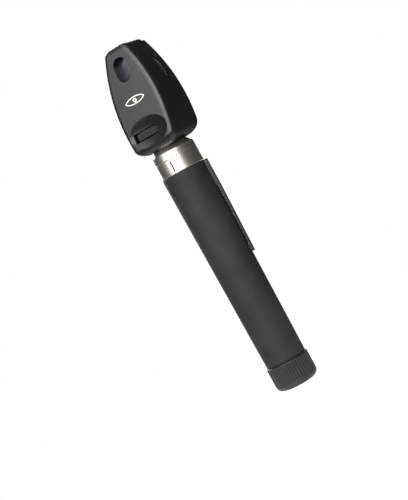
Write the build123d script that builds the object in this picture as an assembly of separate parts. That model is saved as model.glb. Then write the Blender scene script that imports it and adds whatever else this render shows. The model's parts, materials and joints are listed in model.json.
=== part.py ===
from build123d import *
import os
from math import atan2, degrees, radians, sin

# Pocket ophthalmoscope, in millimetres.
# The origin is the centre of the end cap's base. +Z runs up the handle to the head.
# -Y faces the patient and +Y faces the practitioner.

# ---- Handle: heights up the axis, and radii ----
cell_radius = 7.2
cell_length = 50.5
cap_floor = 2.2
cells_base = 6.0
cells_top = cells_base + 2 * cell_length
tube_inner_radius = 7.6
tube_outer_radius = 8.4
tube_base = 4.0
tube_top = 118.3
cap_height = 12.0
cap_radius = 10.2
sleeve_base = 12.4
sleeve_top = 108.25
sleeve_base_radius = 9.6
collar_radius = 10.45
switch_base = 108.4
switch_top = 115.25
neck_base = 115.35
neck_web = 118.5
neck_top = 120.8
running_gap = 0.05
collar_edge = 0.12
cap_groove_count = 44
beyond = 20.0  # outside the whole head, for cuts that pass right through

# ---- Pocket clip ----
clip_angle = 31.0
clip_width = 7.0
clip_radius = 12.0
clip_tip = 62.0
clip_shoulder = 95.0
rivet_heights = (98.5, 104.5)

# ---- Contacts at the top of the tube ----
contact_pin_radius = 1.2
contact_head_top = cells_top + 1.2
contact_block_base = 110.5
contact_block_top = 115.0
lamp_tip_base = 116.6

# ---- Switch ring ----
switch_recess_radius = 9.0
switch_recess_low = 110.0
switch_recess_high = 113.0
index_angle = 12.0

# ---- Neck ----
neck_flange_radius = 7.4
neck_bore = tube_outer_radius + running_gap
neck_seal_wire = 0.2
neck_seal_z = 117.2

# ---- Head: each side wall is one arc seen from the front, widest at belly_z ----
head_base = neck_top
head_top = 170.2
belly_half_width = 13.0
belly_z = 139.0
side_arc_radius = 74.0
head_base_round = 5.0
head_top_round = 2.0
front_corner = 2.4
back_corner = 1.2
least_corner = 0.6
head_back = 11.6
face_slope = 0.188
face_y_at_top = -2.97
wall = 1.7
parting_y = 5.8
pad_thickness = 2.4
pad_top = 168.0
peephole_radius = 3.2
peephole_bore = 1.7
peephole_flange = 4.2
number_glass_front = 10.8
number_rebate = 0.5

# ---- Optics ----
mirror_edge_y = -0.9
mirror_edge_z = 159.8
view_axis_z = 161.2
window_z = 159.8
window_width = 7.5
window_height = 11.3
window_depth = 3.3
window_rebate = 0.4
glass_thickness = 0.6

# ---- Aperture wheel, with its axis upright ----
scoop_z = 130.2
aperture_wheel_x = -2.5
aperture_wheel_y = -1.6
aperture_wheel_radius = 8.0
aperture_wheel_base = 128.2
aperture_wheel_top = 131.6
aperture_rib_count = 42
aperture_count = 5
aperture_start_angle = degrees(atan2(-aperture_wheel_y, -aperture_wheel_x))
aperture_ring_radius = abs(complex(aperture_wheel_x, aperture_wheel_y))
aperture_axle_radius = 0.8
lower_deck_base = 125.0
lower_deck_top = 127.9
upper_deck_base = 132.0
upper_deck_top = 133.8
spot_disc_base = 131.1
spot_disc_thickness = 0.3
wheel_opening_radius = 1.5

# ---- Optical frame ----
deck_half_width = 9.0
deck_front, deck_back = -5.8, 9.2
post_places = ((7.5, 2.2), (-3.0, 7.8), (7.4, -4.4))
barrel_radius = 4.2
barrel_bore = 3.4
barrel_top = 150.0
cheek_inner = 3.25
cheek_thickness = 0.9
cheek_front = -0.6
cheek_top = 160.0
rear_wall_front, rear_wall_back = 3.8, 5.0
rear_wall_top = 157.5
condenser_radius = 1.7
condenser_seat = 126.2
objective_z = 142.0

# ---- Lens wheel, with its axis along Y ----
lens_wheel_z = 151.0
lens_wheel_radius = 12.9
lens_wheel_front = 6.1
lens_wheel_back = 9.1
lens_wheel_rib_count = 60
lens_axle_radius = 1.2
lens_axle_end = 9.8
axle_groove_front, axle_groove_back = 9.2, 9.6
axle_groove_radius = 0.95
lens_count = 12
lens_radius = 1.6
lens_ring_radius = view_axis_z - lens_wheel_z
number_ring_inner = 2.6
number_ring_outer = 6.2
number_window_z = lens_wheel_z - 4.6
number_recess = 0.3

# ---- Lamp, below the aperture wheel ----
lamp_base_radius = 3.0
lamp_base_z = 117.4
lamp_glass_z = 122.2
lamp_top = 124.7
socket_radius = 3.8

# ---- Screws ----
shell_screw_x = 9.4
screw_post_radius = 2.4
shell_screw_z = 137.0
shell_screw_radius = 0.9
shell_screw_head_radius = 1.7
screw_head_front = 10.2
frame_screw_ring = 6.0
frame_screw_radius = 0.8


# ---- Helpers ----

def disc(radius, low, high, x=0.0, y=0.0):
    """An upright cylinder between two heights."""
    return Pos(x, y, (low + high) / 2) * Cylinder(radius, high - low)


def tube(outer, inner, low, high, x=0.0, y=0.0):
    """An upright ring between two heights."""
    return disc(outer, low, high, x, y) - disc(inner, low - 1, high + 1, x, y)


def rod(radius, front, back, x, z):
    """A cylinder along Y between two depths."""
    return Pos(x, (front + back) / 2, z) * Rot(90, 0, 0) * Cylinder(radius, back - front)


def block(x_range, y_range, z_range):
    """A box from its low and high coordinates."""
    ranges = (x_range, y_range, z_range)
    centre = [sum(pair) / 2 for pair in ranges]
    size = [pair[1] - pair[0] for pair in ranges]
    return Pos(*centre) * Box(*size)


def lens(radius, thickness, surface_radius):
    """A double convex lens about the origin, with its axis along Z."""
    reach = surface_radius - thickness / 2
    return Cylinder(radius, thickness) & (Pos(0, 0, -reach) * Sphere(surface_radius)) \
        & (Pos(0, 0, reach) * Sphere(surface_radius))


def coil(radius, wire_radius, low, high, turns):
    """A helical spring that stands between two heights."""
    height = high - low - 2 * wire_radius
    path = Pos(0, 0, low + wire_radius) * Helix(height / turns, height, radius)
    profile = Plane(origin=path @ 0, z_dir=path % 0) * Circle(wire_radius)
    return sweep(profile, path, is_frenet=True)


def face_y(z):
    """Depth of the head's leaning front face at a height."""
    return face_y_at_top - (head_top - z) * face_slope


def face_plane(z):
    """Plane of the front face, facing outward, with its origin at a height."""
    return Plane(origin=(0, face_y(z), z), x_dir=(1, 0, 0), z_dir=(0, -1, face_slope))


# ---- Handle ----

def make_end_cap():
    """Ribbed screw cap, a cup with a rounded base."""
    base_round = 2.6
    rim_chamfer = 0.3
    groove_radius = 0.45
    groove_low, groove_high = 3.0, 11.3
    cap = disc(cap_radius, 0, cap_height)
    cap = fillet(cap.edges().group_by(Axis.Z)[0], base_round)
    cap = chamfer(cap.edges().group_by(Axis.Z)[-1], rim_chamfer)
    cap -= disc(tube_outer_radius + running_gap, cap_floor, cap_height + 1)
    groove = disc(groove_radius, groove_low, groove_high)
    return cap - [place * groove for place in PolarLocations(cap_radius + 0.1, cap_groove_count)]


def make_battery_tube():
    """Plain metal tube around the cells."""
    return tube(tube_outer_radius, tube_inner_radius, tube_base, tube_top)


def sleeve_form(extra, low, high):
    """The sleeve's tapered outside, grown by an amount, between two heights."""
    taper = (collar_radius - sleeve_base_radius) / (sleeve_top - sleeve_base)
    radii = [sleeve_base_radius + (z - sleeve_base) * taper + extra for z in (low, high)]
    return Pos(0, 0, (low + high) / 2) * Cone(*radii, high - low)


def make_grip_sleeve():
    """Soft tube over the battery tube, rounded at both ends."""
    end_round = 0.5
    sleeve = sleeve_form(0, sleeve_base, sleeve_top)
    sleeve = fillet(sleeve.edges(), end_round)
    sleeve -= disc(tube_outer_radius, sleeve_base - 1, sleeve_top + 1)
    return sleeve - [rivet_form(z, clip_radius) for z in rivet_heights]


def rivet_form(z, reach):
    """Round-headed rivet through the clip's shoulder, cut off level at a radius."""
    shank_radius = 0.8
    head_radius = 1.5
    head_thickness = 0.7
    seat_gap = 0.1
    shank = Cylinder(shank_radius, beyond)
    head = Pos(0, 0, beyond / 2) * Cylinder(head_radius, beyond)
    form = Rot(0, 90, 0) * shank + Pos(clip_radius - head_thickness, 0, 0) * Rot(0, 90, 0) * head
    form = Pos(0, 0, z) * form & tube(reach, tube_outer_radius + seat_gap, sleeve_base, sleeve_top)
    outer_half = block((0, beyond), (-head_radius, head_radius), (sleeve_base, sleeve_top))
    return Rot(0, 0, clip_angle) * (form & outer_half)


def make_pocket_clip():
    """Spring strip that lies along the sleeve, fixed at its upper end."""
    tip_radius = 11.3
    tip_length = 4.0
    blade_gap = 0.55
    corner = 1.4
    top_margin = 0.2
    strip_height = clip_shoulder - clip_tip
    outside = disc(clip_radius, clip_shoulder, sleeve_top - top_margin)
    outside += Pos(0, 0, clip_tip + strip_height / 2) * Cone(tip_radius, clip_radius, strip_height)
    strip = outside & block((tube_outer_radius, beyond), (-clip_width / 2, clip_width / 2),
                            (clip_tip, sleeve_top))
    strip = fillet(strip.edges().filter_by(Axis.X), corner)
    strip -= sleeve_form(0, sleeve_base, sleeve_top + 1)
    strip -= sleeve_form(blade_gap, clip_tip + tip_length, clip_shoulder)
    strip = Rot(0, 0, clip_angle) * strip
    return strip - [rivet_form(z, beyond) for z in rivet_heights]


def make_clip_rivets():
    """Two rivets, with their heads just below the clip's surface."""
    sink = 0.08
    return [rivet_form(z, clip_radius - sink) for z in rivet_heights]


def make_cell(base):
    """AA cell with its raised terminal on top."""
    terminal_height = 1.0
    terminal_radius = 2.75
    edge_round = 0.5
    body_top = base + cell_length - terminal_height
    body = disc(cell_radius, base, body_top)
    body = fillet(body.edges(), edge_round)
    return body + disc(terminal_radius, body_top - 1, base + cell_length)


def make_cap_spring():
    """Coil on the cap's floor that presses the cells up."""
    spring_radius = 5.0
    wire_radius = 0.4
    turns = 2.5
    return coil(spring_radius, wire_radius, cap_floor, cells_base, turns)


def make_cap_seal():
    """Flat ring between the cap's rim and the sleeve."""
    seal_radius = 9.5
    return tube(seal_radius, tube_outer_radius, cap_height + running_gap, sleeve_base)


def make_contact_block():
    """Insulating plug in the top of the battery tube."""
    edge_chamfer = 0.3
    plug = disc(tube_inner_radius, contact_block_base, contact_block_top)
    plug = chamfer(plug.edges(), edge_chamfer)
    return plug - disc(contact_pin_radius + running_gap, contact_block_base - 1, contact_block_top + 1)


def make_centre_contact():
    """Pin that carries current from the cells to the lamp."""
    head_radius = 2.8
    head = disc(head_radius, cells_top, contact_head_top)
    return head + disc(contact_pin_radius, cells_top, lamp_tip_base)


def make_contact_spring():
    """Coil between the pin's head and the plug."""
    spring_radius = 2.0
    wire_radius = 0.25
    turns = 2
    return coil(spring_radius, wire_radius, contact_head_top, contact_block_base, turns)


# ---- Switch ring ----

def index_form():
    """Inlaid line near the front of the switch ring."""
    half_width_of_line = 0.3
    depth = 0.5
    end_margin = 0.9
    line = block((-half_width_of_line, half_width_of_line), (-collar_radius - 1, -collar_radius + depth),
                 (switch_base + end_margin, switch_top - end_margin))
    return Rot(0, 0, index_angle) * line & disc(collar_radius, switch_base, switch_top)


def make_switch_ring():
    """Lower collar ring, turned to switch the lamp."""
    ring = disc(collar_radius, switch_base, switch_top)
    ring = chamfer(ring.edges(), collar_edge)
    ring -= disc(tube_outer_radius + running_gap, switch_base - 1, switch_top + 1)
    ring -= disc(switch_recess_radius, switch_recess_low, switch_recess_high)
    return ring - index_form()


def make_switch_contact():
    """Curved wiper in the ring's inner recess."""
    end_gap = 0.3
    half_length = 4.0
    wiper = tube(switch_recess_radius, tube_outer_radius + running_gap, switch_recess_low + end_gap,
                 switch_recess_high - end_gap)
    return wiper & block((-half_length, half_length), (0, beyond), (switch_recess_low, switch_recess_high))


# ---- Head shells ----

def half_width(z):
    """Half the head's width at a height, on the side wall's arc."""
    return belly_half_width - side_arc_radius + (side_arc_radius ** 2 - (z - belly_z) ** 2) ** 0.5


def head_slice(z, inset, low, high):
    """Level outline of the head at a height. Both ends draw in as quarter circles."""
    low_round, high_round = head_base_round - inset, head_top_round - inset
    below = max(low + low_round - z, 0)
    above = max(z - high + high_round, 0)
    shrink = inset + low_round - (low_round ** 2 - below ** 2) ** 0.5
    shrink += high_round - (high_round ** 2 - above ** 2) ** 0.5
    front, back = face_y(z) + shrink, head_back - shrink
    outline = Pos(0, (front + back) / 2) * Rectangle(2 * (half_width(z) - shrink), back - front)
    outline = fillet(outline.vertices().group_by(Axis.Y)[0], max(front_corner - inset, least_corner))
    outline = fillet(outline.vertices().group_by(Axis.Y)[-1], max(back_corner - inset, least_corner))
    return Pos(0, 0, z) * outline


def head_form(inset):
    """The whole head as one smooth solid, shrunk by an inset."""
    low, high = head_base + inset, head_top - inset
    low_round, high_round = head_base_round - inset, head_top_round - inset
    straight_low, straight_high = low + low_round, high - high_round
    body_steps = 20
    step = (straight_high - straight_low) / body_steps
    heights = [straight_low - low_round * sin(radians(angle)) for angle in (78, 64, 50, 36, 22, 10)]
    heights += [straight_low + index * step for index in range(body_steps + 1)]
    heights += [straight_high + high_round * sin(radians(angle)) for angle in (10, 26, 44, 62, 78)]
    return loft([head_slice(z, inset, low, high) for z in heights])


head_outside = head_form(0)
head_inside = head_form(wall)


def scoop_form(extra):
    """Oval hollow around the aperture wheel's rim: a spindle along X that dips into the face."""
    depth, half_height, half_span = 2.4, 6.7, 10.4
    radius = (half_height ** 2 + depth ** 2) / (2 * depth)
    reach = radius - depth
    spindle_half = half_span / (1 - (reach / radius) ** 2) ** 0.5
    oval = Ellipse(spindle_half + extra, radius + extra)
    section = oval & Pos(0, radius) * Rectangle(3 * spindle_half, 2 * radius)
    plane = face_plane(scoop_z)
    centre = plane.origin + plane.z_dir * reach
    return Pos(*centre) * revolve(section, Axis.X, 360)


def window_slot(extra):
    """The light window's oval outline."""
    return SlotOverall(window_height + 2 * extra, window_width + 2 * extra, rotation=90)


def window_prism(extra, near, far):
    """The window's outline as a solid between two depths behind the face."""
    plane = face_plane(window_z)
    return extrude(plane * Pos(0, 0, -far) * window_slot(extra), far - near)


def wheel_pocket():
    """Room for the aperture wheel, and the opening its rim looks out of."""
    gap = 0.3
    half_opening = 5.95
    opening_low, opening_high = 127.8, 132.0
    opening_back = -4.0
    pocket = disc(aperture_wheel_radius + gap, aperture_wheel_base - gap, aperture_wheel_top + gap,
                  aperture_wheel_x, aperture_wheel_y)
    left, right = aperture_wheel_x - half_opening, aperture_wheel_x + half_opening
    opening = block((left, right), (-beyond, opening_back), (opening_low, opening_high))
    return pocket + opening


def lens_wheel_slot():
    """Room for the lens wheel, which opens a slot in both side walls."""
    gap = 0.3
    return rod(lens_wheel_radius + gap, parting_y, lens_wheel_back + gap, 0, lens_wheel_z)


def make_front_shell():
    """Face and front half of the walls, with the scoop, the window and two screw posts."""
    floor = 1.5
    rim = 1.3
    flange_gap = 0.1
    screw_front = 0.0
    glass_back = window_depth + glass_thickness
    cavity = head_inside - scoop_form(floor) - window_prism(rim, -1, glass_back)
    for side in (-1, 1):
        cavity -= rod(screw_post_radius, -beyond, parting_y, side * shell_screw_x, shell_screw_z)
    shell = head_outside - cavity
    shell -= scoop_form(0)
    shell -= wheel_pocket()
    shell -= window_prism(0, -3, glass_back + 1)
    shell -= window_prism(window_rebate, window_depth, glass_back + 1)
    shell -= disc(neck_flange_radius + flange_gap, head_base - 1, head_base + wall + 1)
    for side in (-1, 1):
        shell -= rod(shell_screw_radius, screw_front, parting_y + 1, side * shell_screw_x, shell_screw_z)
    return shell & block((-beyond, beyond), (-beyond, parting_y), (head_base - 1, head_top + 1))


def make_rear_shell():
    """Back half of the walls, with slots for the lens wheel, a viewing hole and a number window."""
    flange_gap = 0.1
    cavity = head_inside
    for side in (-1, 1):
        cavity -= rod(screw_post_radius, parting_y, head_back, side * shell_screw_x, shell_screw_z)
    shell = head_outside - cavity
    shell -= lens_wheel_slot()
    shell -= rod(peephole_radius, 0, beyond, 0, view_axis_z)
    shell -= number_window_form(0, 0, beyond)
    shell -= number_window_form(number_rebate, number_glass_front, beyond)
    shell -= disc(neck_flange_radius + flange_gap, head_base - 1, head_base + wall + 1)
    for side in (-1, 1):
        x = side * shell_screw_x
        shell -= rod(shell_screw_radius + running_gap, 0, beyond, x, shell_screw_z)
        shell -= rod(shell_screw_head_radius + running_gap, screw_head_front, beyond, x, shell_screw_z)
    return shell & block((-beyond, beyond), (parting_y, beyond), (head_base - 1, head_top + 1))


def number_window_form(extra, front, back):
    """Small rounded rectangle over the lens numbers, between two depths."""
    plane = Plane(origin=(0, back, number_window_z), x_dir=(1, 0, 0), z_dir=(0, -1, 0))
    width, height, corner = 4.4, 3.2, 0.6
    outline = RectangleRounded(width + 2 * extra, height + 2 * extra, corner)
    return extrude(plane * outline, back - front)


def make_brow_rest():
    """Rubber pad that follows the back of the head, just inside its side walls."""
    side_step = 0.15
    ring_gap = 0.2
    number_margin = 1.1
    pad = Pos(0, pad_thickness + side_step, 0) * head_form(side_step) - head_outside
    pad &= block((-beyond, beyond), (parting_y + 0.2, beyond), (head_base, pad_top))
    pad = pad.solids().sort_by(SortBy.VOLUME)[-1]
    pad -= rod(peephole_flange + ring_gap, 0, beyond, 0, view_axis_z)
    return pad - number_window_form(number_margin, 0, beyond)


def make_peephole_ring():
    """Flanged bush that the practitioner looks through."""
    flange_thickness = 0.7
    wheel_gap = 0.85
    rim_chamfer = 0.3
    mouth_depth = 0.6
    ring = rod(peephole_radius, lens_wheel_back + wheel_gap, head_back, 0, view_axis_z)
    ring += rod(peephole_flange, head_back, head_back + flange_thickness, 0, view_axis_z)
    ring = chamfer(ring.edges().group_by(Axis.Y)[-1], rim_chamfer)
    ring -= rod(peephole_bore, 0, beyond, 0, view_axis_z)
    mouth = Pos(0, head_back + flange_thickness, view_axis_z) * Rot(-90, 0, 0) * Pos(0, 0, -mouth_depth)
    return ring - mouth * Cone(peephole_bore, peephole_bore + 2 * mouth_depth, 2 * mouth_depth)


def make_dioptre_window():
    """Small glass that lies flush with the rear shell's back."""
    return number_window_form(number_rebate, number_glass_front, head_back)


def make_front_window():
    """Glass behind the oval opening."""
    return window_prism(window_rebate, window_depth, window_depth + glass_thickness)


def make_head_screws():
    """Two slotted screws that pull the rear shell onto the front shell."""
    sink = 0.05
    point = 0.5
    slot_half_width, slot_half_length, slot_depth = 0.2, 1.2, 0.6
    head_end = head_back - sink
    screws = []
    for side in (-1, 1):
        x = side * shell_screw_x
        screw = rod(shell_screw_radius, point, head_end, x, shell_screw_z)
        screw += rod(shell_screw_head_radius, screw_head_front, head_end, x, shell_screw_z)
        screw -= block((x - slot_half_length, x + slot_half_length), (head_back - slot_depth, beyond),
                       (shell_screw_z - slot_half_width, shell_screw_z + slot_half_width))
        screws.append(screw)
    return screws


# ---- Neck and lamp ----

def frame_screw_places():
    """The three places around the neck's axis."""
    return [Rot(0, 0, angle) * Pos(frame_screw_ring, 0, 0) for angle in (90, 210, 330)]


def make_neck_ring():
    """Upper collar ring, with a sloping shoulder and a web that carries the head."""
    shoulder = 2.3
    ring = disc(collar_radius, neck_base, neck_top)
    ring = chamfer(ring.edges().group_by(Axis.Z)[-1], shoulder)
    ring = chamfer(ring.edges().group_by(Axis.Z)[0], collar_edge)
    ring -= disc(neck_bore, neck_base - 1, neck_web)
    groove_half = neck_seal_wire + running_gap
    ring -= disc(neck_bore + 2 * groove_half, neck_seal_z - groove_half, neck_seal_z + groove_half)
    ring -= disc(socket_radius, neck_web - 1, neck_top + 1)
    hole = disc(frame_screw_radius, neck_web - 1, neck_top + 1)
    return ring - [place * hole for place in frame_screw_places()]


def make_neck_seal():
    """Ring in the neck's groove that grips the battery tube's spigot."""
    return Pos(0, 0, neck_seal_z) * Torus(neck_bore + neck_seal_wire, neck_seal_wire)


def make_lamp_socket():
    """Metal sleeve that the lamp stands in."""
    return tube(socket_radius, lamp_base_radius + running_gap, neck_web, lamp_top)


def make_lamp_base():
    """Metal can of the lamp, with a crimp line."""
    base_chamfer = 0.4
    crimp_depth = 0.2
    crimp_low, crimp_high = lamp_glass_z - 1.0, lamp_glass_z - 0.7
    can = disc(lamp_base_radius, lamp_base_z, lamp_glass_z)
    can = chamfer(can.edges().group_by(Axis.Z)[0], base_chamfer)
    return can - tube(lamp_base_radius + 1, lamp_base_radius - crimp_depth, crimp_low, crimp_high)


def make_lamp_tip():
    """Contact button under the lamp."""
    button_radius = 1.2
    edge_chamfer = 0.25
    button = disc(button_radius, lamp_tip_base, lamp_base_z)
    return chamfer(button.edges().group_by(Axis.Z)[0], edge_chamfer)


def make_lamp_bulb():
    """Glass envelope, domed and hollow."""
    outer_radius = 2.5
    dome_radius = 2.0
    glass = 0.35
    outer = disc(outer_radius, lamp_glass_z, lamp_top)
    outer = fillet(outer.edges().group_by(Axis.Z)[-1], dome_radius)
    inner = disc(outer_radius - glass, lamp_glass_z, lamp_top - glass)
    inner = fillet(inner.edges().group_by(Axis.Z)[-1], dome_radius - glass)
    return outer - inner


def make_lamp_filament():
    """Two leads and the coil between them."""
    half_length = 1.0
    coil_radius = 0.22
    lead_radius = 0.1
    height = lamp_glass_z + 1.2
    wire = Pos(0, 0, height) * Rot(0, 90, 0) * Cylinder(coil_radius, 2 * half_length)
    for side in (-1, 1):
        wire += disc(lead_radius, lamp_glass_z, height, side * half_length)
    return wire


# ---- Optical frame and optics ----

def deck(low, high):
    """Plate of the frame, with rounded corners."""
    corner = 2.5
    plate = block((-deck_half_width, deck_half_width), (deck_front, deck_back), (low, high))
    return fillet(plate.edges().filter_by(Axis.Z), corner)


def make_optical_frame():
    """Two decks around the aperture wheel, a barrel above them and cheeks for the mirror."""
    post_radius = 1.2
    skirt_radius = 4.7
    lamp_hole_radius = 1.35
    beam_radius = 2.2
    flange_top = head_base + wall
    cheek_outer = cheek_inner + cheek_thickness
    frame = disc(neck_flange_radius, neck_top, flange_top)
    frame += disc(skirt_radius, flange_top, lower_deck_base)
    frame += deck(lower_deck_base, lower_deck_top)
    frame += deck(upper_deck_base, upper_deck_top)
    for x, y in post_places:
        frame += disc(post_radius, lower_deck_top, upper_deck_base, x, y)
    frame += disc(barrel_radius, upper_deck_top, barrel_top)
    frame -= disc(barrel_bore, upper_deck_top, barrel_top + 1)
    for low_x in (-cheek_outer, cheek_inner):
        frame += block((low_x, low_x + cheek_thickness), (cheek_front, rear_wall_back),
                       (barrel_top - 1, cheek_top))
    frame += block((-cheek_outer, cheek_outer), (rear_wall_front, rear_wall_back),
                   (barrel_top - 2, rear_wall_top))
    frame -= disc(socket_radius, neck_top - 1, lamp_top)
    frame -= disc(lamp_hole_radius, lamp_top - 1, lower_deck_top + 1)
    frame -= disc(condenser_radius, condenser_seat, lower_deck_top + 1)
    frame -= disc(beam_radius, upper_deck_base - 1, upper_deck_top + 1)
    frame -= axle_form()
    frame -= rod(lens_axle_radius, 0, lens_wheel_back, 0, lens_wheel_z)
    hole = disc(frame_screw_radius, neck_top - 1, flange_top + 1)
    return frame - [place * hole for place in frame_screw_places()]


def make_frame_screws():
    """Three screws that hold the frame to the neck ring."""
    head_radius, head_height = 1.1, 0.9
    slot_half_width, slot_depth = 0.2, 0.4
    point = neck_web + 0.6
    flange_top = head_base + wall
    head_end = flange_top + head_height
    screw = disc(frame_screw_radius, point, flange_top) + disc(head_radius, flange_top, head_end)
    screw -= block((-slot_half_width, slot_half_width), (-beyond, beyond),
                   (head_end - slot_depth, head_end + 1))
    return [place * screw for place in frame_screw_places()]


def make_condenser_lens():
    """Small lens in the lower deck, over the lamp."""
    thickness = 1.5
    surface_radius = 4.0
    return Pos(0, 0, condenser_seat + thickness / 2) * lens(condenser_radius, thickness, surface_radius)


def make_objective_lens():
    """Lens across the barrel."""
    thickness = 2.0
    surface_radius = 12.0
    return Pos(0, 0, objective_z) * lens(barrel_bore, thickness, surface_radius)


def make_mirror():
    """Flat mirror at 45 degrees that turns the beam out of the window."""
    length = 5.6
    thickness = 0.9
    side_gap = 0.05
    width = 2 * (cheek_inner - side_gap)
    plate = Pos(0, -length / 2, -thickness / 2) * Box(width, length, thickness)
    plane = Plane(origin=(0, mirror_edge_y, mirror_edge_z), x_dir=(1, 0, 0), z_dir=(0, -1, -1))
    return plane * plate


def groove_ring(radius):
    """Flat ring between the floor of the lens wheel axle's groove and a radius."""
    ring = rod(radius, axle_groove_front, axle_groove_back, 0, lens_wheel_z)
    return ring - rod(axle_groove_radius, 0, beyond, 0, lens_wheel_z)


def make_lens_wheel_axle():
    """Pin in the frame's rear wall, with a shoulder in front of the wheel."""
    shoulder_radius = 2.0
    pin = rod(lens_axle_radius, rear_wall_front, lens_axle_end, 0, lens_wheel_z)
    pin += rod(shoulder_radius, rear_wall_back, lens_wheel_front - running_gap, 0, lens_wheel_z)
    return pin - groove_ring(lens_axle_radius + 1)


def make_lens_wheel_clip():
    """Retaining ring in the axle's groove, open on one side."""
    clip_outer_radius = 2.2
    half_opening = 0.6
    opening_top = lens_wheel_z + clip_outer_radius + 1
    opening = block((-half_opening, half_opening), (0, beyond), (lens_wheel_z, opening_top))
    return groove_ring(clip_outer_radius) - opening


def make_lens_click_spring():
    """Leaf on the frame's rear wall that presses towards the lens wheel."""
    leaf = 0.25
    base_z, width = 155.6, 1.6
    points = [(-3.5, 5.0), (3.8, 5.0), (7.2, 5.5), (7.8, 5.8), (8.4, 5.5)]
    back = [(x, y + leaf) for x, y in reversed(points)]
    outline = make_face(Polyline(*points, *back, close=True))
    return Pos(0, 0, base_z) * extrude(outline, width)


def make_aperture_click_spring():
    """Leaf on the frame's side post that presses towards the aperture wheel's rim."""
    leaf = 0.2
    base_z, width = 129.2, 1.6
    points = [(6.3, 3.2), (6.3, 1.2), (5.95, 0.2), (6.3, -0.8)]
    inner = [(x - leaf, y) for x, y in reversed(points)]
    outline = make_face(Polyline(*points, *inner, close=True))
    return Pos(0, 0, base_z) * extrude(outline, width)


# ---- Aperture wheel ----

def axle_form():
    """The upright pin in both decks."""
    low = lower_deck_base + 0.4
    return disc(aperture_axle_radius, low, upper_deck_top, aperture_wheel_x, aperture_wheel_y)


def aperture_places():
    """Centre of each wheel opening. The first one is over the lamp."""
    step = 360 / aperture_count
    centre = Pos(aperture_wheel_x, aperture_wheel_y, 0)
    return [centre * Rot(0, 0, aperture_start_angle + index * step) * Pos(aperture_ring_radius, 0, 0)
            for index in range(aperture_count)]


def make_aperture_wheel():
    """Wheel with a ribbed rim and five openings."""
    rib_groove = 0.38
    rim_chamfer = 0.3
    disc_recess_radius = 6.5
    axle_bore = aperture_axle_radius + running_gap
    wheel = disc(aperture_wheel_radius, aperture_wheel_base, aperture_wheel_top)
    wheel = chamfer(wheel.edges(), rim_chamfer)
    wheel -= disc(disc_recess_radius, spot_disc_base, aperture_wheel_top + 1)
    wheel -= disc(axle_bore, aperture_wheel_base - 1, aperture_wheel_top + 1)
    groove = disc(rib_groove, aperture_wheel_base - 1, aperture_wheel_top + 1)
    wheel -= [place * groove for place in PolarLocations(aperture_wheel_radius, aperture_rib_count)]
    wheel = Pos(aperture_wheel_x, aperture_wheel_y, 0) * wheel
    opening = disc(wheel_opening_radius, aperture_wheel_base - 1, aperture_wheel_top + 1)
    return wheel - [place * opening for place in aperture_places()]


def make_aperture_disc():
    """Thin disc with a large spot, a small spot, a slit, a half circle and a ring target."""
    disc_radius = 6.45
    bore_radius = aperture_axle_radius + 0.1
    large_radius, small_radius = 1.2, 0.6
    slit_half_width, slit_half_length = 0.2, 1.1
    target_radius = 0.9
    bar_half_width = 0.15
    low, high = spot_disc_base - 1, spot_disc_base + 1
    plate = tube(disc_radius, bore_radius, spot_disc_base, spot_disc_base + spot_disc_thickness,
                 aperture_wheel_x, aperture_wheel_y)
    large = disc(large_radius, low, high)
    small = disc(small_radius, low, high)
    slit = block((-slit_half_width, slit_half_width), (-slit_half_length, slit_half_length), (low, high))
    half = large & block((0, beyond), (-beyond, beyond), (low, high))
    target = large - disc(target_radius, low, high)
    target -= block((-beyond, beyond), (-bar_half_width, bar_half_width), (low, high))
    spots = (large, small, slit, half, target)
    return plate - [place * spot for place, spot in zip(aperture_places(), spots)]


def make_green_filter():
    """Coloured glass under the small spot."""
    seat = aperture_wheel_base + 0.8
    thickness = 1.0
    return aperture_places()[1] * disc(wheel_opening_radius, seat, seat + thickness)


# ---- Lens wheel ----

def lens_places():
    """Centre of each lens, in the wheel's own frame. The first one is on the viewing axis."""
    step = 360 / lens_count
    centre = Pos(0, 0, lens_wheel_z)
    return [centre * Rot(0, index * step, 0) * Pos(0, 0, lens_ring_radius) for index in range(lens_count)]


def make_lens_wheel():
    """Wheel with a ribbed rim, a ring of lens openings and a recess for the numbers."""
    rib_groove = 0.4
    rim_chamfer = 0.35
    wheel = Cylinder(lens_wheel_radius, lens_wheel_back - lens_wheel_front)
    wheel = chamfer(wheel.edges(), rim_chamfer)
    groove = Cylinder(rib_groove, beyond)
    wheel -= [place * groove for place in PolarLocations(lens_wheel_radius, lens_wheel_rib_count)]
    wheel = Pos(0, (lens_wheel_front + lens_wheel_back) / 2, lens_wheel_z) * Rot(90, 0, 0) * wheel
    wheel -= rod(lens_axle_radius + running_gap, 0, beyond, 0, lens_wheel_z)
    recess = rod(number_ring_outer, lens_wheel_back - number_recess, beyond, 0, lens_wheel_z)
    wheel -= recess - rod(number_ring_inner, 0, beyond, 0, lens_wheel_z)
    return wheel - [place * rod(lens_radius, 0, beyond, 0, 0) for place in lens_places()]


def make_test_lenses():
    """A small lens in every opening but the first, which stays clear."""
    middle = (lens_wheel_front + lens_wheel_back) / 2
    thickness = 1.4
    surface_radius = 6.0
    glass = Pos(0, middle, 0) * Rot(90, 0, 0) * lens(lens_radius, thickness, surface_radius)
    return [place * glass for place in lens_places()[1:]]


def make_dioptre_ring():
    """Number disc on the back of the wheel."""
    thickness = 0.25
    edge_gap = 0.05
    front = lens_wheel_back - number_recess
    ring = rod(number_ring_outer - edge_gap, front, front + thickness, 0, lens_wheel_z)
    return ring - rod(number_ring_inner + edge_gap, 0, beyond, 0, lens_wheel_z)


# ---- Export ----

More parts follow.
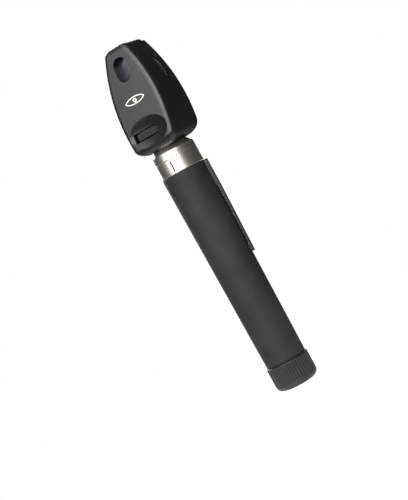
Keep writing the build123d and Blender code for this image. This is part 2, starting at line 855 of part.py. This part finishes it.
pieces = {
    "end_cap": make_end_cap(),
    "cap_spring": make_cap_spring(),
    "cap_seal": make_cap_seal(),
    "battery_tube": make_battery_tube(),
    "grip_sleeve": make_grip_sleeve(),
    "pocket_clip": make_pocket_clip(),
    "clip_rivets": make_clip_rivets(),
    "lower_cell": make_cell(cells_base),
    "upper_cell": make_cell(cells_base + cell_length),
    "contact_block": make_contact_block(),
    "centre_contact": make_centre_contact(),
    "contact_spring": make_contact_spring(),
    "switch_ring": make_switch_ring(),
    "switch_index": index_form(),
    "switch_contact": make_switch_contact(),
    "neck_ring": make_neck_ring(),
    "neck_seal": make_neck_seal(),
    "front_shell": make_front_shell(),
    "rear_shell": make_rear_shell(),
    "brow_rest": make_brow_rest(),
    "peephole_ring": make_peephole_ring(),
    "dioptre_window": make_dioptre_window(),
    "front_window": make_front_window(),
    "head_screws": make_head_screws(),
    "optical_frame": make_optical_frame(),
    "frame_screws": make_frame_screws(),
    "lamp_socket": make_lamp_socket(),
    "lamp_base": make_lamp_base(),
    "lamp_tip": make_lamp_tip(),
    "lamp_bulb": make_lamp_bulb(),
    "lamp_filament": make_lamp_filament(),
    "condenser_lens": make_condenser_lens(),
    "objective_lens": make_objective_lens(),
    "mirror": make_mirror(),
    "lens_wheel_axle": make_lens_wheel_axle(),
    "lens_wheel_clip": make_lens_wheel_clip(),
    "lens_click_spring": make_lens_click_spring(),
    "aperture_click_spring": make_aperture_click_spring(),
    "aperture_axle": axle_form(),
    "aperture_wheel": make_aperture_wheel(),
    "aperture_disc": make_aperture_disc(),
    "green_filter": make_green_filter(),
    "lens_wheel": make_lens_wheel(),
    "test_lenses": make_test_lenses(),
    "dioptre_ring": make_dioptre_ring(),
}

os.makedirs("parts", exist_ok=True)
for name, piece in pieces.items():
    solids = piece if isinstance(piece, list) else [piece]
    node = Compound(label=name, children=[solid for shape in solids for solid in shape.solids()])
    export_step(node, "parts/" + name + ".step")
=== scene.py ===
import json
from math import cos, pi, radians, sin

import bmesh
import bpy
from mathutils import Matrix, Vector


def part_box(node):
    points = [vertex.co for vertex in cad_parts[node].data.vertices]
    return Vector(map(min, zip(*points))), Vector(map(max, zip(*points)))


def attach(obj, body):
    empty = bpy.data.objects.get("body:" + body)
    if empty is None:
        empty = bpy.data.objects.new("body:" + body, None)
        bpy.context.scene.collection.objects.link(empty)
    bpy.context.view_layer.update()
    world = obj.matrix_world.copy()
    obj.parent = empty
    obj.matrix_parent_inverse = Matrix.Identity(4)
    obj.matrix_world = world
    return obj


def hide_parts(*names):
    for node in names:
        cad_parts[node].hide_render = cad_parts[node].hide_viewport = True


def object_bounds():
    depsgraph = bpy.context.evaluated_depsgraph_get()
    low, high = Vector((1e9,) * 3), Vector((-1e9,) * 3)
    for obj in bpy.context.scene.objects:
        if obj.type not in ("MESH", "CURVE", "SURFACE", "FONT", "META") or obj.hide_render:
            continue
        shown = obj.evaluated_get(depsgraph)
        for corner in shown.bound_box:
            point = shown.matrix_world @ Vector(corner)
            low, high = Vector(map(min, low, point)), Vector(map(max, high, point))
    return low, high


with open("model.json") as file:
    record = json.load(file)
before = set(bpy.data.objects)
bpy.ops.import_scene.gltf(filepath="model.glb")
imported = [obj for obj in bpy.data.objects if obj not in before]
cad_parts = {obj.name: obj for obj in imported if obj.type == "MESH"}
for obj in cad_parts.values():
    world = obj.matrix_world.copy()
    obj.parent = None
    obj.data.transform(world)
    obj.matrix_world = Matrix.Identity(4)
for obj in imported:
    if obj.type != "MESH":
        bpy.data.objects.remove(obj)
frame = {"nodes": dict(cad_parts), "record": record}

MM = 0.001
nodes = frame["nodes"]
cad_low, cad_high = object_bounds()

# ---- Camera: direction in degrees, and the point it looks at ----
CAMERA_AZIMUTH = 31.0
CAMERA_ELEVATION = 3.0
CAMERA_ROLL = 28.7
CAMERA_DISTANCE = 580 * MM
AIM_HEIGHT = 114.7 * MM
AIM_SHIFT_RIGHT = 12.4 * MM
AIM_SHIFT_UP = -41.1 * MM
FRAME_HEIGHT = 222.2 * MM

# ---- Lights: name, azimuth and elevation in degrees, distance, width and height in metres, radiance ----
SOFTBOXES = (
    ("key", 10, 25, 0.75, 1.15, 0.55, 5.2),
    ("top", -20, 76, 0.70, 0.45, 0.45, 2.5),
    ("edge", 38, 42, 0.80, 0.30, 0.40, 5.0),
    ("back", 222, 22, 0.80, 0.80, 0.60, 7.0),
)
FILL_LEVEL = 0.05


# ---- Shader helper ----

class Shader:
    """A material with one Principled node. Its textures run in object space, in metres."""

    def __init__(self, name, colour, roughness, metallic=0.0):
        self.material = bpy.data.materials.new(name)
        self.material.use_nodes = True
        self.tree = self.material.node_tree
        self.tree.nodes.clear()
        self.surface = self.node("ShaderNodeBsdfPrincipled")
        self.output = self.node("ShaderNodeOutputMaterial")
        self.link(self.surface.outputs["BSDF"], self.output.inputs["Surface"])
        self.coordinates = self.node("ShaderNodeTexCoord")
        self.normal = None
        self.put("Base Color", colour)
        self.put("Roughness", roughness)
        self.put("Metallic", metallic)

    def node(self, kind):
        return self.tree.nodes.new(kind)

    def link(self, source, target):
        self.tree.links.new(source, target)

    def feed(self, socket, value):
        """Sets a socket from a number, a colour or another socket."""
        if isinstance(value, bpy.types.NodeSocket):
            self.link(value, socket)
        elif isinstance(value, tuple) and len(value) == 3 and socket.type == "RGBA":
            socket.default_value = (*value, 1.0)
        else:
            socket.default_value = value

    def put(self, name, value):
        self.feed(self.surface.inputs[name], value)

    def noise(self, size, detail=3.0, stretch=(1.0, 1.0, 1.0)):
        """Noise with features of about a size in metres, stretched along the axes."""
        mapping = self.node("ShaderNodeMapping")
        mapping.inputs["Scale"].default_value = [1.0 / (size * part) for part in stretch]
        self.link(self.coordinates.outputs["Object"], mapping.inputs["Vector"])
        texture = self.node("ShaderNodeTexNoise")
        texture.inputs["Scale"].default_value = 1.0
        texture.inputs["Detail"].default_value = detail
        self.link(mapping.outputs["Vector"], texture.inputs["Vector"])
        return texture.outputs["Fac"]

    def pebbles(self, size):
        """Rounded cells, as on moulded leather grain."""
        mapping = self.node("ShaderNodeMapping")
        mapping.inputs["Scale"].default_value = [1.0 / size] * 3
        self.link(self.coordinates.outputs["Object"], mapping.inputs["Vector"])
        texture = self.node("ShaderNodeTexVoronoi")
        texture.feature = "SMOOTH_F1"
        texture.inputs["Scale"].default_value = 1.0
        self.link(mapping.outputs["Vector"], texture.inputs["Vector"])
        return texture.outputs["Distance"]

    def spread(self, source, low, high, start=0.3, end=0.7):
        """Maps a source's start and end to low and high."""
        node = self.node("ShaderNodeMapRange")
        for name, value in (("From Min", start), ("From Max", end), ("To Min", low), ("To Max", high)):
            node.inputs[name].default_value = value
        self.link(source, node.inputs["Value"])
        return node.outputs["Result"]

    def mix(self, factor, first, second):
        """Blends two colours."""
        node = self.node("ShaderNodeMix")
        node.data_type = "RGBA"
        self.feed(node.inputs[0], factor)
        self.feed(node.inputs[6], first)
        self.feed(node.inputs[7], second)
        return node.outputs[2]

    def rounded(self, radius):
        """Softens the look of sharp edges, and returns a mask that is 1 on them."""
        flat, turned = 0.995, 0.85
        bevel = self.node("ShaderNodeBevel")
        bevel.samples = 6
        bevel.inputs["Radius"].default_value = radius
        geometry = self.node("ShaderNodeNewGeometry")
        product = self.node("ShaderNodeVectorMath")
        product.operation = "DOT_PRODUCT"
        self.link(bevel.outputs["Normal"], product.inputs[0])
        self.link(geometry.outputs["Normal"], product.inputs[1])
        self.normal = bevel.outputs["Normal"]
        self.feed(self.surface.inputs["Normal"], self.normal)
        return self.spread(product.outputs["Value"], 0.0, 1.0, flat, turned)

    def bump(self, height, depth):
        """Adds relief of a depth in metres on top of what is there."""
        node = self.node("ShaderNodeBump")
        node.inputs["Distance"].default_value = depth
        self.link(height, node.inputs["Height"])
        if self.normal is not None:
            self.link(self.normal, node.inputs["Normal"])
        self.normal = node.outputs["Normal"]
        self.feed(self.surface.inputs["Normal"], self.normal)


# ---- Materials, one per slot of the record ----

def moulded_plastic(name, colour, roughness, grain=0.25 * MM, depth=0.012 * MM, wear=0.35):
    """Black moulded plastic: fine spark texture, faint tone patches, edges rubbed a little lighter."""
    shader = Shader(name, colour, roughness)
    edge = shader.rounded(0.3 * MM)
    patches = shader.noise(9 * MM)
    worn = tuple(min(1.0, part * 3.0 + 0.02) for part in colour)
    darker = tuple(part * 0.75 for part in colour)
    tone = shader.mix(shader.spread(patches, 0.0, 1.0), darker, colour)
    rub = shader.node("ShaderNodeMath")
    rub.operation = "MULTIPLY"
    shader.link(edge, rub.inputs[0])
    shader.link(shader.spread(shader.noise(2.5 * MM), 0.0, wear), rub.inputs[1])
    shader.put("Base Color", shader.mix(rub.outputs[0], tone, worn))
    shader.put("Roughness", shader.spread(shader.noise(5 * MM), roughness - 0.05, roughness + 0.06))
    shader.bump(shader.noise(grain, detail=2.0), depth)
    return shader


def soft_rubber(name, colour, roughness, grain=0.45 * MM, depth=0.03 * MM):
    """Soft-touch rubber: pebble grain, dust in soft patches, almost no shine."""
    shader = Shader(name, colour, roughness)
    grain_height = shader.pebbles(grain)
    dusty = tuple(part * 1.9 for part in colour)
    film = shader.mix(shader.spread(shader.noise(14 * MM, detail=5.0), 0.0, 0.7), colour, dusty)
    shader.put("Base Color", film)
    shader.put("Roughness", shader.spread(shader.noise(6 * MM), roughness - 0.06, roughness + 0.05))
    shader.put("Specular IOR Level", 0.22)
    shader.bump(grain_height, depth)
    shader.bump(shader.noise(0.12 * MM, detail=1.0), depth * 0.4)
    return shader


def turned_metal(name, colour, roughness, depth=0.0015 * MM):
    """Metal with fine lathe lines around the handle's axis, and a few faint smudges."""
    shader = Shader(name, colour, roughness, metallic=1.0)
    shader.rounded(0.15 * MM)
    lines = shader.noise(0.14 * MM, detail=1.0, stretch=(1e5, 1e5, 1.0))
    smudges = shader.noise(7 * MM, detail=4.0)
    tarnish = tuple(part * 0.93 for part in colour)
    shader.put("Base Color", shader.mix(shader.spread(smudges, 0.0, 1.0), tarnish, colour))
    shader.put("Roughness", shader.spread(lines, roughness - 0.05, roughness + 0.07))
    shader.bump(lines, depth)
    return shader


def drawn_metal(name, colour, roughness):
    """Wire, strip and small turned parts."""
    shader = Shader(name, colour, roughness, metallic=1.0)
    shader.rounded(0.08 * MM)
    streaks = shader.noise(0.3 * MM, detail=3.0)
    duller = tuple(part * 0.8 for part in colour)
    shader.put("Base Color", shader.mix(shader.spread(streaks, 0.0, 1.0), duller, colour))
    shader.put("Roughness", shader.spread(streaks, roughness - 0.06, roughness + 0.08))
    shader.bump(streaks, 0.004 * MM)
    return shader


def coated_glass(name, colour, see_through, roughness=0.03, coat=0.4):
    """Glass with a thin film, and the faintest haze."""
    shader = Shader(name, colour, roughness)
    shader.put("Transmission Weight", see_through)
    shader.put("IOR", 1.5)
    shader.put("Coat Weight", coat)
    shader.put("Roughness", shader.spread(shader.noise(3 * MM, detail=4.0), roughness, roughness + 0.05))
    shader.bump(shader.noise(5 * MM), 0.003 * MM)
    return shader


def printed_card(name, colour, roughness):
    """Printed disc or jacket with a slightly uneven ink film."""
    shader = Shader(name, colour, roughness)
    ink = shader.noise(0.6 * MM, detail=4.0)
    thinner = tuple(part * 0.9 for part in colour)
    shader.put("Base Color", shader.mix(shader.spread(ink, 0.0, 1.0), thinner, colour))
    shader.put("Roughness", shader.spread(ink, roughness - 0.05, roughness + 0.07))
    shader.bump(ink, 0.004 * MM)
    return shader


slot_shaders = {
    "cap_plastic": moulded_plastic("cap_plastic", (0.014, 0.014, 0.015), 0.46),
    "spring_steel": drawn_metal("spring_steel", (0.56, 0.57, 0.60), 0.28),
    "seal_rubber": soft_rubber("seal_rubber", (0.012, 0.012, 0.012), 0.7),
    "tube_metal": turned_metal("tube_metal", (0.72, 0.73, 0.76), 0.34),
    "sleeve_rubber": soft_rubber("sleeve_rubber", (0.018, 0.017, 0.018), 0.60),
    "clip_paint": moulded_plastic("clip_paint", (0.014, 0.014, 0.016), 0.42),
    "cell_jacket": printed_card("cell_jacket", (0.05, 0.06, 0.09), 0.35),
    "insulator": printed_card("insulator", (0.70, 0.66, 0.58), 0.5),
    "contact_brass": drawn_metal("contact_brass", (0.80, 0.60, 0.27), 0.25),
    "collar_metal": turned_metal("collar_metal", (0.74, 0.70, 0.655), 0.33),
    "index_line": printed_card("index_line", (0.02, 0.02, 0.02), 0.35),
    "head_plastic": moulded_plastic("head_plastic", (0.010, 0.010, 0.0105), 0.33),
    "pad_rubber": soft_rubber("pad_rubber", (0.007, 0.007, 0.008), 0.66, grain=0.6 * MM),
    "head_gloss": moulded_plastic("head_gloss", (0.012, 0.012, 0.013), 0.22),
    "clear_glass": coated_glass("clear_glass", (0.92, 0.96, 0.98), 0.95),
    # Window glass: dark tinted and mostly opaque. The tint is painted shade that stands in for the shaded
    # inside of the window and hides the lit mirror behind it.
    "window_glass": coated_glass("window_glass", (0.02, 0.02, 0.03), 0.35, coat=0.0),
    "screw_steel": drawn_metal("screw_steel", (0.30, 0.30, 0.32), 0.34),
    "frame_metal": moulded_plastic("frame_metal", (0.012, 0.012, 0.013), 0.6),
    "lamp_metal": drawn_metal("lamp_metal", (0.80, 0.78, 0.74), 0.2),
    "mirror_silver": drawn_metal("mirror_silver", (0.90, 0.92, 0.95), 0.1),
    "wheel_plastic": moulded_plastic("wheel_plastic", (0.005, 0.005, 0.0055), 0.50, wear=0.4),
    "disc_foil": drawn_metal("disc_foil", (0.05, 0.05, 0.05), 0.4),
    "green_glass": coated_glass("green_glass", (0.10, 0.65, 0.30), 0.9),
    "number_card": printed_card("number_card", (0.85, 0.84, 0.80), 0.5),
}


def paint_cad_nodes():
    """Gives every CAD node the material of its slot."""
    for part in frame["record"]["subparts"]:
        shader = slot_shaders[part["material_slot"]]
        for slot in nodes[part["node"]].material_slots:
            slot.material = shader.material


# ---- Mesh helpers ----

def new_object(name, mesh, slot, body):
    """Links a piece, gives it a slot's material and makes it ride on a body."""
    piece = bpy.data.objects.new(name, mesh)
    bpy.context.scene.collection.objects.link(piece)
    mesh.materials.append(slot_shaders[slot].material)
    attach(piece, body)
    return piece


def lathe(name, profile, segments):
    """Mesh of a closed profile of (radius, height) points turned around the handle's axis."""
    form = bmesh.new()
    rings = []
    for index in range(segments):
        angle = 2 * pi * index / segments
        rings.append([form.verts.new((r * cos(angle), r * sin(angle), z)) for r, z in profile])
    count = len(profile)
    for index, ring in enumerate(rings):
        following = rings[(index + 1) % segments]
        for step in range(count):
            after = (step + 1) % count
            form.faces.new((ring[step], following[step], following[after], ring[after]))
    bmesh.ops.recalc_face_normals(form, faces=form.faces)
    mesh = bpy.data.meshes.new(name)
    form.to_mesh(mesh)
    form.free()
    mesh.shade_smooth()
    return mesh


def radius_at(node, height, reach=0.7 * MM):
    """Largest distance from the handle's axis among a node's points near a height."""
    near = [v.co for v in nodes[node].data.vertices if abs(v.co.z - height) < reach]
    return max((co.x ** 2 + co.y ** 2) ** 0.5 for co in near)


# ---- Soft grip ----

def make_soft_grip():
    """Moulded sleeve with rolled rims and a slightly hollow waist."""
    segments = 160
    low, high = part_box("grip_sleeve")
    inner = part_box("battery_tube")[1].x
    bottom, top = radius_at("grip_sleeve", low.z + 0.6 * MM), high.x
    roll = 0.55 * MM
    rim_steps, side_steps = 6, 60
    waist = 0.06 * MM

    def side_radius(fraction):
        return bottom + (top - bottom) * fraction - waist * sin(pi * fraction)

    profile = [(inner, low.z), (side_radius(0) - roll, low.z)]
    for step in range(1, rim_steps + 1):
        angle = radians(90) * step / rim_steps
        profile.append((side_radius(0) - roll + roll * sin(angle), low.z + roll - roll * cos(angle)))
    for step in range(1, side_steps):
        fraction = step / side_steps
        profile.append((side_radius(fraction), low.z + roll + (high.z - low.z - 2 * roll) * fraction))
    for step in range(rim_steps + 1):
        angle = radians(90) * step / rim_steps
        profile.append((side_radius(1) - roll + roll * cos(angle), high.z - roll + roll * sin(angle)))
    profile.append((inner, high.z))
    grip = new_object("soft_grip", lathe("soft_grip", profile, segments), "sleeve_rubber", "handle")
    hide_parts("grip_sleeve")


# ---- Brow pad ----

def make_brow_pad():
    """Soft pad from the CAD pad's own solid, with its corners melted round."""
    voxel_size = 0.22 * MM
    smoothing, smoothing_rounds = 0.5, 4
    mesh = nodes["brow_rest"].data.copy()
    mesh.name = "brow_pad"
    mesh.materials.clear()
    pad = new_object("brow_pad", mesh, "pad_rubber", "head")
    remesh = pad.modifiers.new("even", "REMESH")
    remesh.mode = "VOXEL"
    remesh.voxel_size = voxel_size
    remesh.use_smooth_shade = True
    smooth = pad.modifiers.new("soften", "SMOOTH")
    smooth.factor = smoothing
    smooth.iterations = smoothing_rounds
    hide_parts("brow_rest")


# ---- Printed marks ----

def face_point(x, z):
    """A point on the head's front face, and the face's outward direction there."""
    shell = nodes["front_shell"]
    depth = 60 * MM
    hit, point, normal, _ = shell.ray_cast(Vector((x, -depth, z)), Vector((0.0, 1.0, 0.0)))
    return (point, normal) if hit else (Vector((x, 0.0, z)), Vector((0.0, -1.0, 0.0)))


def print_on_face(name, outlines, height, slot):
    """Thin raised print. Each outline is a list of loops of (x, z), the outer edge then the inner one."""
    thickness = 0.04 * MM
    form = bmesh.new()
    for outer, inner in outlines:
        rings = []
        for lift in (-thickness, thickness):
            for loop in (outer, inner):
                ring = []
                for x, z in loop:
                    point, normal = face_point(x, z + height)
                    ring.append(form.verts.new(point + normal * lift))
                rings.append(ring)
        low_outer, low_inner, high_outer, high_inner = rings
        count = len(outer)
        for index in range(count):
            after = (index + 1) % count
            for first, second in ((high_outer, high_inner), (high_inner, low_inner), (low_inner, low_outer),
                                  (low_outer, high_outer)):
                form.faces.new((first[index], first[after], second[after], second[index]))
    bmesh.ops.recalc_face_normals(form, faces=form.faces)
    mesh = bpy.data.meshes.new(name)
    form.to_mesh(mesh)
    form.free()
    return new_object(name, mesh, slot, "head")


def make_eye_mark():
    """Generic eye sign: an almond line with a ring in it."""
    half_length, half_height, line = 5.4 * MM, 1.75 * MM, 0.42 * MM
    ring_outer, ring_inner = 1.05 * MM, 0.45 * MM
    height_fraction = 0.495
    pointed_ends, corner_shrink = 0.35, 1.6
    steps = 48

    def almond(shrink):
        reach, rise = half_length - corner_shrink * shrink, half_height - shrink
        points = []
        for index in range(steps):
            angle = 2 * pi * index / steps
            points.append((reach * cos(angle), rise * sin(angle) * abs(sin(angle)) ** pointed_ends))
        return points

    def circle(radius):
        return [(radius * cos(2 * pi * i / steps), radius * sin(2 * pi * i / steps)) for i in range(steps)]

    low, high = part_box("front_shell")
    height = low.z + height_fraction * (high.z - low.z)
    outlines = [(almond(0.0), almond(line)), (circle(ring_outer), circle(ring_inner))]
    print_on_face("eye_mark", outlines, height, "number_card")


def make_dioptre_numbers():
    """Generic lens numbers around the number disc, printed on its back."""
    low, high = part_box("dioptre_ring")
    centre = (low + high) / 2
    ring_radius = 4.6 * MM
    labels = ("0", "1", "2", "4", "6", "10", "20", "20", "15", "10", "5", "2")
    font_size = 2.3 * MM
    ink_thickness = 0.02 * MM
    for index, label in enumerate(labels):
        angle = 2 * pi * index / len(labels)
        data = bpy.data.curves.new(f"dioptre_{index}", "FONT")
        data.body = label
        data.size = font_size
        data.align_x, data.align_y = "CENTER", "CENTER"
        data.extrude = ink_thickness
        text = bpy.data.objects.new(f"dioptre_{index}", data)
        bpy.context.scene.collection.objects.link(text)
        text.rotation_euler = (radians(90), angle, radians(180))
        x, z = ring_radius * sin(angle), -ring_radius * cos(angle)
        text.location = (centre.x - x, high.y + ink_thickness, centre.z + z)
        data.materials.append(slot_shaders["index_line"].material)
        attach(text, "lens_wheel")


# ---- Floor, lights and camera ----

def camera_axes():
    """Right, up and back directions of the camera."""
    azimuth, elevation, roll = radians(CAMERA_AZIMUTH), radians(CAMERA_ELEVATION), radians(CAMERA_ROLL)
    back = Vector((sin(azimuth) * cos(elevation), -cos(azimuth) * cos(elevation), sin(elevation)))
    level_right = Vector((cos(azimuth), sin(azimuth), 0.0))
    level_up = back.cross(level_right)
    right = level_right * cos(roll) - level_up * sin(roll)
    up = level_right * sin(roll) + level_up * cos(roll)
    return right, up, back


def make_camera():
    """Camera in front, a little to the right and above, rolled so that the head leans left."""
    right, up, back = camera_axes()
    aim = Vector((0.0, 0.0, AIM_HEIGHT)) + AIM_SHIFT_RIGHT * right + AIM_SHIFT_UP * up
    data = bpy.data.cameras.new("camera")
    data.sensor_width = 36.0
    data.lens = data.sensor_width * CAMERA_DISTANCE / FRAME_HEIGHT
    data.clip_start, data.clip_end = 0.01, 20.0
    camera = bpy.data.objects.new("camera", data)
    bpy.context.scene.collection.objects.link(camera)
    turn = camera.matrix_world.copy()
    for index, axis in enumerate((right, up, back)):
        turn.col[index] = (*axis, 0.0)
    turn.col[3] = (*(aim + CAMERA_DISTANCE * back), 1.0)
    camera.matrix_world = turn
    bpy.context.scene.camera = camera


def add_softbox(name, azimuth, elevation, distance, width, height, radiance):
    """Area light that looks at the middle of the object. Its power follows from its radiance and area."""
    middle = (cad_low + cad_high) / 2
    a, e = radians(azimuth), radians(elevation)
    direction = Vector((sin(a) * cos(e), -cos(a) * cos(e), sin(e)))
    data = bpy.data.lights.new(name, "AREA")
    data.shape = "RECTANGLE"
    data.size, data.size_y = width, height
    data.energy = pi * width * height * radiance
    lamp = bpy.data.objects.new(name, data)
    bpy.context.scene.collection.objects.link(lamp)
    lamp.location = middle + direction * distance
    lamp.rotation_mode = "QUATERNION"
    lamp.rotation_quaternion = (-direction).to_track_quat("-Z", "Y")


def make_lights():
    """One softbox after another."""
    for softbox in SOFTBOXES:
        add_softbox(*softbox)


def make_world():
    """White to the camera, dim grey to everything else."""
    world = bpy.data.worlds.new("studio")
    bpy.context.scene.world = world
    world.use_nodes = True
    tree = world.node_tree
    background = tree.nodes["Background"]
    path = tree.nodes.new("ShaderNodeLightPath")
    level = tree.nodes.new("ShaderNodeMapRange")
    level.inputs["To Min"].default_value = FILL_LEVEL
    level.inputs["To Max"].default_value = 1.0
    tree.links.new(path.outputs["Is Camera Ray"], level.inputs["Value"])
    tree.links.new(level.outputs["Result"], background.inputs["Strength"])
    background.inputs["Color"].default_value = (1.0, 1.0, 1.0, 1.0)


def make_floor():
    """Pale floor, just below the lowest reach of the end cap. It melts into the white background."""
    drop = 12 * MM
    half_size = 3.0
    fade_start, fade_end = 0.06, 0.26
    lift_level, bounce_level = 0.45, 0.08
    form = bmesh.new()
    bmesh.ops.create_grid(form, x_segments=8, y_segments=8, size=half_size)
    mesh = bpy.data.meshes.new("floor")
    form.to_mesh(mesh)
    form.free()
    floor = bpy.data.objects.new("floor", mesh)
    bpy.context.scene.collection.objects.link(floor)
    floor.location.z = cad_low.z - drop
    shader = Shader("floor", (0.85, 0.85, 0.85), 0.9)
    glow = shader.node("ShaderNodeEmission")
    path = shader.node("ShaderNodeLightPath")
    level = shader.spread(path.outputs["Is Camera Ray"], bounce_level, 1.0, 0.0, 1.0)
    shader.link(level, glow.inputs["Strength"])
    lift = shader.node("ShaderNodeEmission")
    lifted = shader.spread(path.outputs["Is Camera Ray"], 0.0, lift_level, 0.0, 1.0)
    shader.link(lifted, lift.inputs["Strength"])
    near = shader.node("ShaderNodeAddShader")
    shader.link(shader.surface.outputs["BSDF"], near.inputs[0])
    shader.link(lift.outputs["Emission"], near.inputs[1])
    length = shader.node("ShaderNodeVectorMath")
    length.operation = "LENGTH"
    shader.link(shader.coordinates.outputs["Object"], length.inputs[0])
    fade = shader.spread(length.outputs["Value"], 0.0, 1.0, fade_start, fade_end)
    blend = shader.node("ShaderNodeMixShader")
    shader.link(fade, blend.inputs[0])
    shader.link(near.outputs["Shader"], blend.inputs[1])
    shader.link(glow.outputs["Emission"], blend.inputs[2])
    shader.link(blend.outputs["Shader"], shader.output.inputs["Surface"])
    mesh.materials.append(shader.material)


# ---- Build ----

paint_cad_nodes()
make_soft_grip()
make_brow_pad()
make_eye_mark()
make_dioptre_numbers()
make_camera()
make_lights()
make_world()
make_floor()
bpy.context.scene.view_settings.view_transform = "Standard"

bpy.context.view_layer.update()
